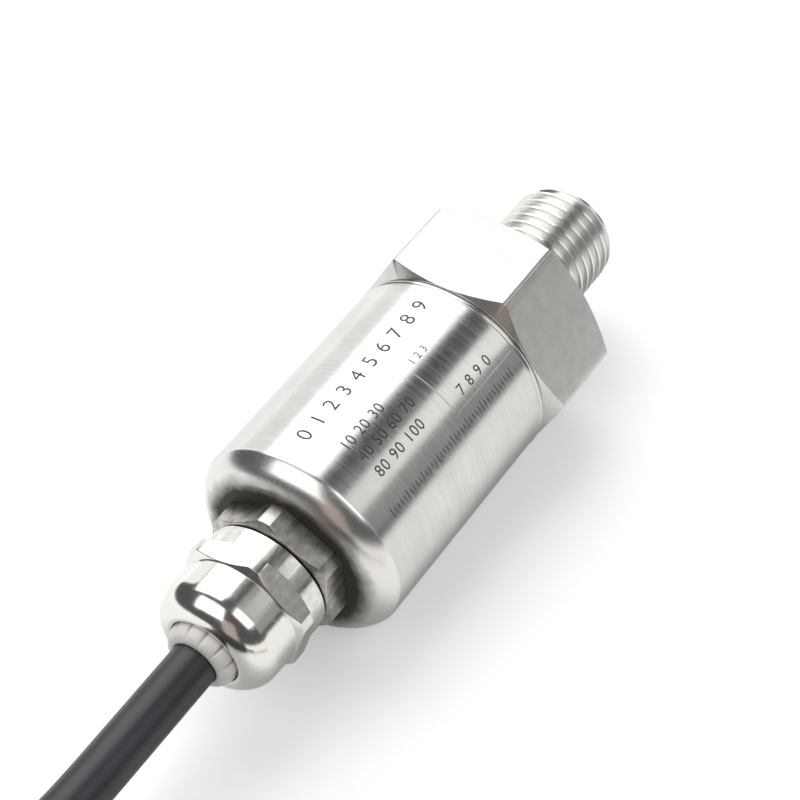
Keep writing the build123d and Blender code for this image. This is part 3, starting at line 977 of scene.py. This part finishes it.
# %% Dome nut
nut_rear, nut_hex_rear, nut_hex_front, dome_bend = -50.8, -53.4, -56.2, -59.43
collar_r, nut_corner_r, nut_face_r, dome_r, dome_radius = 7.85, 8.75, 7.85, 7.7, 3.6
nut_hole_r, nut_hole_edge, nut_bore_r, nut_shoulder = 4.45, 0.4, 6.56, -57.0
nut_ledge_r, cone_front, nut_mouth, dome_step = 5.9, -60.6, 0.3, 0.12
dome_steps, hole_steps, nut_turn = 16, 5, math.radians(18)
POLISHED, BRIGHT = 0, 1
dome_center_r = dome_r - dome_radius
dome_end_turn = math.asin((nut_hole_r + nut_hole_edge - dome_center_r) / dome_radius)
dome_end = dome_bend - dome_radius * math.cos(dome_end_turn)
dome_arc = [
    (dome_bend - dome_radius * math.sin(turn), dome_center_r + dome_radius * math.cos(turn))
    for turn in ((math.pi / 2 - dome_end_turn) * i / dome_steps for i in range(dome_steps + 1))
]
hole_arc = [
    (
        dome_end + nut_hole_edge * (1 - math.cos(turn)),
        nut_hole_r + nut_hole_edge * (1 - math.sin(turn)),
    )
    for turn in (math.pi / 2 * i / hole_steps for i in range(1, hole_steps + 1))
]
print("dome ends at", round(dome_end, 2))


def nut_outline(angle):
    """The section of the dome nut at an angle."""
    reach = hexagon_reach(angle, nut_turn, gland_flats, nut_corner_r)
    return [
        (nut_rear, nut_bore_r + nut_mouth, 0.04, BRIGHT),
        (nut_rear, collar_r, 0.14, BRIGHT),
        (nut_hex_rear, collar_r, 0, BRIGHT),
        (cone_x(nut_hex_rear, -1, reach, nut_face_r), reach, 0.06, BRIGHT),
        (cone_x(nut_hex_front, 1, reach, nut_face_r), reach, 0.06, POLISHED),
        (nut_hex_front, nut_face_r, 0.05, POLISHED),
        (nut_hex_front - dome_step, dome_r, 0.05, POLISHED),
        *((x, r, 0, POLISHED) for x, r in dome_arc + hole_arc),
        (cone_front, nut_hole_r, 0, POLISHED),
        (nut_shoulder, nut_ledge_r, 0, POLISHED),
        (nut_shoulder, nut_bore_r, 0, POLISHED),
        (nut_rear - nut_mouth, nut_bore_r, 0, POLISHED),
    ]


put(
    "dome_nut_nickel",
    turn_mesh(
        "dome_nut_nickel",
        nut_outline,
        hexagon_angles(nut_turn, gland_flats, nut_corner_r, blend_mm=0.06),
    ),
    "gland_nut",
    [polished_nickel, bright_nickel],
    ["cap_nut"],
)

# %% [markdown]
# ## The clamp cage
# A solid ring sits in the gland, and twelve fingers run forward from it. The nut's cone bends
# them in, so that they touch at the tips and bulge a little between the creases. One finger is
# lofted from a few sections, whose outer side is crowned and drops at both edges.

# %% One finger
finger_count = 12
cage_back, cage_step, finger_root = -51.05, -56.0, -57.9
cage_r, cage_inner_r, finger_root_r = 5.65, 3.75, 5.3

# Each section's place along the axis, inner and outer radius and half angle in degrees
finger_sections = [
    (-57.2, 3.75, 5.6, 12.9),
    (-58.5, 3.3, 5.0, 13.2),
    (-60.6, 3.0, 4.25, 14.0),
    (-61.6, 2.95, 4.36, 14.5),
    (-62.9, 2.95, 4.38, 14.7),
    (-63.5, 2.95, 4.33, 14.8),
    (-64.0, 2.95, 4.14, 14.8),
    (-64.35, 2.95, 3.8, 14.7),
    (-64.53, 2.95, 3.35, 14.5),
]
finger_crown, side_start, side_drop, outer_steps, inner_steps = 0.14, 0.75, 0.16, 8, 4


def finger_section(x, inner_r, outer_r, half_angle):
    """Points round one section of a finger that points up, as (x, y, z)."""
    thickness = outer_r - inner_r
    points = []
    for i in range(-outer_steps, outer_steps + 1):
        share = i / outer_steps
        past_side = max(0.0, abs(share) - side_start) / (1 - side_start)
        radius = outer_r - finger_crown * share * share - side_drop * past_side * thickness
        points.append((radius, math.radians(half_angle) * share))
    for i in range(inner_steps, -inner_steps - 1, -1):
        points.append((inner_r, math.radians(half_angle) * i / inner_steps))
    return [(x, -radius * math.sin(turn), radius * math.cos(turn)) for radius, turn in points]


finger_bm = bmesh.new()
finger_loops = [
    [finger_bm.verts.new([v * MM for v in point]) for point in finger_section(*row)]
    for row in finger_sections
]
for loop, following in zip(finger_loops, finger_loops[1:]):
    for i in range(len(loop)):
        j = (i + 1) % len(loop)
        finger_bm.faces.new((loop[i], loop[j], following[j], following[i]))
finger_bm.faces.new(finger_loops[0])
finger_bm.faces.new(finger_loops[-1])
bmesh.ops.recalc_face_normals(finger_bm, faces=finger_bm.faces)
for face in finger_bm.faces:
    face.smooth = True
finger_mesh = plain_mesh("finger", finger_bm)
print("one finger:", len(finger_mesh.polygons), "faces")

# %% [markdown]
# The fingers are all alike, so a small node tree sets twelve copies of the one round the cable.

# %% Fingers round the cable


def round_the_axis_tree():
    """Copies of the given mesh, evenly round the X axis."""
    tree, given = new_tree("round_the_axis", Geometry="Geometry", Count="Int", Finish="Material")
    points = add(tree, "GeometryNodeMeshLine", Count=given["Count"], Offset=(0.0, 0.0, 0.0))
    index = add(tree, "GeometryNodeInputIndex")
    share = add(tree, "ShaderNodeMath", index, given["Count"], operation="DIVIDE")
    turn = add(tree, "ShaderNodeMath", share, 2 * math.pi, operation="MULTIPLY")
    about_x = add(tree, "ShaderNodeCombineXYZ", X=turn)
    copies = add(
        tree,
        "GeometryNodeInstanceOnPoints",
        points,
        Instance=given["Geometry"],
        Rotation=about_x,
    )
    return close_tree(tree, copies, given["Finish"])


fingers = grow(round_the_axis_tree(), finger_mesh, Count=finger_count, Finish=natural_nylon)


def cage_outline(angle):
    """The section of the cage's solid ring."""
    return [
        (cage_back, cage_inner_r, 0.08, 0),
        (cage_back, cage_r, 0.15, 0),
        (cage_step, cage_r, 0.1, 0),
        (finger_root, finger_root_r, 0.1, 0),
        (finger_root, cage_inner_r, 0.05, 0),
    ]


cage_ring = turn_mesh("cage_ring", cage_outline, even_angles(72))
put(
    "clamp_cage_nylon",
    join_meshes("clamp_cage_nylon", cage_ring, fingers),
    "transmitter",
    [natural_nylon],
    ["clamp_cage"],
)

# %% [markdown]
# ## Laser marks on the housing
# A fibre laser writes dark oxide lines on stainless steel. The marks here are generic ones: plain
# numbers, two thin rules and a fine scale. Numbers are text made into a flat mesh, and the scale's
# ticks are repeated by a node tree.

# %% Flat marks

# A figure's height as a share of the font's size, and how many times as long every fifth tick is
figure_height, long_tick = 0.72, 1.8


def flat_words(words, height_mm, spacing):
    """Text as a flat mesh, in millimetres, with its lower left corner at the origin."""
    curve = bpy.data.curves.new("words", "FONT")
    curve.body = words
    curve.size = height_mm / figure_height
    curve.space_character = spacing
    carrier = in_scene("words", curve)
    bpy.context.view_layer.update()
    evaluated = carrier.evaluated_get(bpy.context.evaluated_depsgraph_get())
    made = bpy.data.meshes.new_from_object(evaluated)
    bpy.data.objects.remove(carrier)
    return made


def tick_row_tree():
    """Ticks along X at an even spacing, every fifth one longer."""
    sizes = dict.fromkeys(("Spacing", "Width", "Height"), "Float")
    tree, given = new_tree("tick_row", Count="Int", **sizes, Finish="Material")
    step = add(tree, "ShaderNodeCombineXYZ", X=given["Spacing"])
    points = add(tree, "GeometryNodeMeshLine", Count=given["Count"], Offset=step)
    tick = add(
        tree,
        "GeometryNodeMeshGrid",
        Size_X=given["Width"],
        Size_Y=given["Height"],
        Vertices_X=2,
        Vertices_Y=2,
    )
    index = add(tree, "GeometryNodeInputIndex")
    fifth = add(tree, "ShaderNodeMath", index, 5.0, operation="MODULO")
    first = add(tree, "ShaderNodeMath", fifth, 0.5, operation="LESS_THAN")
    more = long_tick - 1
    stretch = add(tree, "ShaderNodeMath", first, more, 1.0, operation="MULTIPLY_ADD")
    size = add(tree, "ShaderNodeCombineXYZ", X=1.0, Y=stretch, Z=1.0)
    copies = add(tree, "GeometryNodeInstanceOnPoints", points, Instance=tick, Scale=size)
    return close_tree(tree, copies, given["Finish"])


def flat_bar(length, height):
    """A flat bar from the origin, in millimetres."""
    made = bpy.data.meshes.new("bar")
    corners = [(0, 0, 0), (length, 0, 0), (length, height, 0), (0, height, 0)]
    made.from_pydata(corners, [], [(0, 1, 2, 3)])
    return made


# %% [markdown]
# The flat marks are then wrapped on the tube. A flat mesh can only bend where it has edges, so it
# is sliced every third of a millimetre first. Each mark becomes a thin closed body that sits a
# hundredth of a millimetre proud.

# %% Marks wrapped on the tube
mark_sink, mark_proud, slice_mm, rule_width = 0.03, 0.01, 0.35, 0.12


def wrapped(whole, flat, start_x, base_degrees):
    """Adds a flat mesh to whole, wrapped on the tube from that place along it and that turn from
    the top. Its own up runs back towards the top."""
    sheet = bmesh.new()
    sheet.from_mesh(flat)
    top = max(v.co.y for v in sheet.verts)
    low = min(v.co.y for v in sheet.verts)
    level = low + slice_mm
    while level < top:
        parts = sheet.verts[:] + sheet.edges[:] + sheet.faces[:]
        bmesh.ops.bisect_plane(sheet, geom=parts, plane_co=(0, level, 0), plane_no=(0, 1, 0))
        level += slice_mm
    raised = bmesh.ops.extrude_face_region(sheet, geom=sheet.faces[:])["geom"]
    outer = {v for v in raised if isinstance(v, bmesh.types.BMVert)}
    for vert in sheet.verts:
        turn = math.radians(base_degrees) - vert.co.y / tube_r
        radius = tube_r + (mark_proud if vert in outer else -mark_sink)
        vert.co = (
            (start_x + vert.co.x) * MM,
            -radius * math.sin(turn) * MM,
            radius * math.cos(turn) * MM,
        )
    bmesh.ops.recalc_face_normals(sheet, faces=sheet.faces)
    whole.from_mesh(plain_mesh("wrapped", sheet))


laser_oxide = moulded_plastic(
    "laser_oxide_mark", "#2f2a28", "#47413d", (0.4, 0.55), 0.15, 0.002, IOR=1.6
)
frosted_line = moulded_plastic(
    "laser_frosted_line", "#b9b7b4", "#cfcdca", (0.4, 0.5), 0.15, 0.001, IOR=1.6
)

# Each row's numbers, height, letter spacing, place along the tube and turn from the top
number_rows = [
    ("0 1 2 3 4 5 6 7 8 9", 2.0, 1.16, -41.0, 1.0),
    ("10 20 30", 1.4, 1.1, -39.5, 19.5),
    ("40 50 60 70", 1.4, 1.1, -39.2, 29.0),
    ("80 90 100", 1.4, 1.15, -39.2, 39.5),
    ("1 2 3", 1.0, 1.1, -25.0, 16.0),
    ("4 5 6", 1.0, 1.1, -23.6, 26.5),
    ("7 8 9 0", 1.4, 1.15, -23.8, 44.0),
]
dark_marks = bmesh.new()
for words, height_mm, spacing, start_x, base_degrees in number_rows:
    wrapped(dark_marks, flat_words(words, height_mm, spacing), start_x, base_degrees)
ticks = grow(
    tick_row_tree(),
    bpy.data.meshes.new("empty"),
    Count=41,
    Spacing=0.62,
    Width=0.11,
    Height=0.75,
    Finish=laser_oxide,
)
wrapped(dark_marks, ticks, -41.0, 55.0)
light_marks = bmesh.new()
wrapped(light_marks, flat_bar(rule_width, 6.4), -26.0, 45.5)
wrapped(light_marks, flat_bar(11.6, rule_width), -25.9, 48.2)
for name, marks, finish in (
    ("housing_numbers", dark_marks, laser_oxide),
    ("housing_rules", light_marks, frosted_line),
):
    mark_mesh = plain_mesh(name, marks)
    mark_mesh.materials.clear()
    mark_mesh.materials.append(finish)
    piece = in_scene(name, mark_mesh)
    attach(piece, "transmitter")
    print(name, len(mark_mesh.polygons), "faces")

# %% [markdown]
# ## The pieces inside
# The CAD's own meshes have the right shapes for the sensor, the boards and the seals, so they stay
# and only get their materials: finely turned steel for the cell, glass and gold for its header,
# green solder mask, black epoxy and fired ceramic on the boards, and coloured insulation on the
# two cores.

# %% Materials for the CAD nodes
core_finish = {"roughness": (0.3, 0.4), "grain_mm": 0.4, "depth": 0.003, "IOR": 1.53}
core_red = moulded_plastic("red_core_insulation", "#a01515", "#b81e1b", **core_finish)
core_yellow = moulded_plastic("yellow_core_insulation", "#d8ac12", "#e6bd20", **core_finish)
cell_steel = turned_steel(
    "turned_316_stainless", "#b9b7b4", "#cfcdca", (0.25, 0.35), 0.3, 0.002, 0.3
)
header_glass = moulded_plastic(
    "sealing_glass", "#2b3a36", "#3a4a45", (0.08, 0.16), 0.8, 0.001, IOR=1.5
)
gold_plate = worked_steel("gold_plate", "#d9a441", "#e8bd63", (0.18, 0.28), 0.2, 0.001)
silicon = mirror_plate("polished_silicon", "#6d737c", (0.08, 0.2), 1.0, 0.001)
solder_mask = moulded_plastic(
    "solder_mask_on_board", "#0c4a2a", "#11603a", (0.2, 0.3), 0.6, 0.004, IOR=1.55
)
chip_epoxy = moulded_plastic("chip_epoxy", "#141414", "#1f1f1f", (0.45, 0.6), 0.1, 0.004, IOR=1.55)
chip_ceramic = moulded_plastic(
    "fired_chip_ceramic", "#8d7a5f", "#a28f73", (0.35, 0.5), 0.2, 0.003, IOR=1.6
)
tinned_copper = worked_steel("tinned_copper", "#c9c9c7", "#dededb", (0.25, 0.4), 0.15, 0.003)
finished_nodes = [
    (seal_rubber, "gland_o_ring sealing_sleeve sensor_o_ring"),
    (polished_nickel, "slip_washer"),
    (cell_steel, "sensor_cell sensor_diaphragm diaphragm_ring clamp_ring"),
    (header_glass, "sensor_header"),
    (silicon, "silicon_die"),
    (gold_plate, "header_pins board_link_pins"),
    (natural_nylon, "board_spacer"),
    (solder_mask, "sensor_board main_board"),
    (chip_epoxy, "amplifier_chip loop_transistor surge_diode chip_resistors"),
    (chip_ceramic, "chip_capacitors"),
    (core_red, "supply_core tail_supply_core"),
    (core_yellow, "signal_core tail_signal_core"),
    (tinned_copper, "wire_ferrules"),
]
for finish, names in finished_nodes:
    for name in names.split():
        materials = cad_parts[name].data.materials
        materials.clear()
        materials.append(finish)
shown_nodes = [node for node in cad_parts.values() if not node.hide_render]
print(len(shown_nodes), "CAD nodes are shown, with", len(finished_nodes), "finishes")

# %% [markdown]
# ## The table and the light
# The table is a plain white sheet that the part's shadow falls on. To be white away from the part,
# it also glows a little where the camera or a mirror sees it, and more so further out, so the dimmer
# glow near the part is painted shade round it. In the mirror of the steel, the strip beside the
# part is darker, because it lies in the part's shadow, so the glow is held back there: a painted
# shadow in the reflection.

# %% Table
table_half, table_x = 600.0, -30.0
# The glow is weaker near the part, which is painted shade round it.
near_glow, far_glow, glow_start, glow_end = 0.34, 0.62, 80.0, 340.0
shade_level, shade_start, shade_end = 0.1, 14.0, 22.0
table_bm = bmesh.new()
bmesh.ops.create_grid(table_bm, x_segments=8, y_segments=8, size=table_half * MM)
table_mesh = plain_mesh("table", table_bm)
table_mesh.transform(Matrix.Translation(Vector((table_x, 0.0, table_z)) * MM))
table = in_scene("table", table_mesh)
table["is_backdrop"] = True
paper, tree, place = new_material("white_paper_sheet")
fibre = stretched_noise(tree, place, (1.5, 1.5, 1.5), detail=2.0)
matt = add(
    tree,
    "ShaderNodeBsdfPrincipled",
    Base_Color=mixed(tree, fibre, "#e6e6e6", "#ebebeb"),
    Roughness=0.9,
    Specular_IOR_Level=0.1,
)
path = add(tree, "ShaderNodeLightPath").outputs
aside = add(tree, "ShaderNodeSeparateXYZ", place).outputs["Y"]
aside = add(tree, "ShaderNodeMath", aside, operation="ABSOLUTE")
# Painted shadow: in mirrors the glow is held back in the strip beside the part.
mirrored = spread(tree, aside, shade_level, 1.0, shade_start * MM, shade_end * MM)
seen = add(
    tree, "ShaderNodeMath", path["Is Camera Ray"], path["Is Transmission Ray"], operation="ADD"
)
seen = add(tree, "ShaderNodeMath", path["Is Glossy Ray"], mirrored, seen, operation="MULTIPLY_ADD")
away = add(tree, "ShaderNodeVectorMath", place, operation="LENGTH").outputs["Value"]
level = spread(tree, away, near_glow, far_glow, glow_start * MM, glow_end * MM)
lift = add(tree, "ShaderNodeMath", seen, level, operation="MULTIPLY")
glow = add(tree, "ShaderNodeEmission", Color=linear("#ffffff"), Strength=lift)
close_material(tree, add(tree, "ShaderNodeAddShader", matt, glow))
table_mesh.materials.append(paper)
print("table at z", table_z, "and", 2 * table_half, "wide")

# %% [markdown]
# ## Soft boxes
# Bright metal shows its surroundings more than its own colour, so each band on the housing is a
# lamp or a gap between two lamps. The large box is over the far side, and two more stand above the
# cable's end and to the right. A dim panel and a strip beside the right one make the narrower
# bands, a pale box stands low at the far left, and two dull walls, one of them warm, fill the dark
# gaps near the table.

# %% Soft boxes
aim = Vector((-40.0, 0.0, 0.0)) * MM
lamp_distance = 600.0 * MM
right_way = (0.15, -0.65, 0.745)


def soft_box(name, direction, level, across, upright, brightness, color="#ffffff"):
    """A rectangular lamp that faces the object, with one side along level. Across and upright are
    its sides' places as slopes from its direction. Brightness is what a mirror shows of it."""
    way = Vector(direction).normalized()
    side = (Vector(level) - way * way.dot(Vector(level))).normalized()
    rise = way.cross(side)
    width, height = (lamp_distance * (high - low) for low, high in (across, upright))
    lamp = bpy.data.lights.new(name, "AREA")
    lamp.shape = "RECTANGLE"
    lamp.size, lamp.size_y = width, height
    lamp.energy = brightness * math.pi * width * height
    lamp.color = linear(color)[:3]
    holder = in_scene(name, lamp)
    middle = way + side * (across[0] + across[1]) / 2 + rise * (upright[0] + upright[1]) / 2
    axes = Matrix((side, rise, way)).transposed().to_4x4()
    holder.matrix_world = Matrix.Translation(aim + middle * lamp_distance) @ axes
    print(name, "energy", round(lamp.energy, 2))


soft_box("overhead_soft_box", (0.40, 0.40, 0.82), (1, 0, 0), (-0.50, 0.45), (-0.49, 0.50), 2.4)
soft_box("right_soft_box", right_way, (1, 0, 0), (-0.50, 0.02), (-0.36, 0.31), 1.9)
soft_box("right_grey_panel", right_way, (1, 0, 0), (0.04, 0.32), (-0.38, 0.33), 0.38)
soft_box("right_strip", right_way, (1, 0, 0), (0.33, 0.85), (-0.29, 0.10), 1.3)
soft_box("far_left_box", (0.62, 0.76, 0.19), (1, -1, 0), (-0.42, 0.26), (-0.33, 0.24), 1.05)
soft_box("near_soft_box", (-0.60, 0.24, 0.76), (0, 1, 0), (-0.42, 0.45), (-0.36, 0.38), 1.8)
soft_box("grey_wall", (0.45, -0.84, 0.30), (1, 0, 0), (-0.40, 0.40), (-0.18, 0.16), 0.26)
soft_box("warm_wall", (-0.87, -0.30, 0.35), (0, 1, 0), (-0.22, 0.22), (-0.30, 0.34), 0.55, "#e3c9bd")

# %% [markdown]
# ## The room
# Past the lamps the steel sees a dim grey room with a trace of green, and this is the tone of its
# dark bands. The camera itself sees plain white behind the sheet.

# %% World and view
world = bpy.data.worlds.new("dim_room")
bpy.context.scene.world = world
world.use_nodes = True
room = world.node_tree
room.nodes.clear()
dim = add(room, "ShaderNodeBackground", Color=linear("#565958"), Strength=1.0)
white = add(room, "ShaderNodeBackground", Color=linear("#ffffff"), Strength=1.0)
direct = add(room, "ShaderNodeLightPath").outputs["Is Camera Ray"]
shown = add(room, "ShaderNodeMixShader", direct, dim, white)
add(room, "ShaderNodeOutputWorld", Surface=shown)
bpy.context.scene.view_settings.view_transform = "Standard"
print("view transform:", bpy.context.scene.view_settings.view_transform)

# %% [markdown]
# ## Sizes and the last line
# Both boxes, the CAD model's and the visual model's, are printed. The visual model has
# to stay in the CAD model's box.

# %% Boxes and finish
dressed_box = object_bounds()
for label, low, high in (("cad", *cad_box), ("visual", *dressed_box)):
    print(label, [round(v / MM, 2) for v in low], [round(v / MM, 2) for v in high])
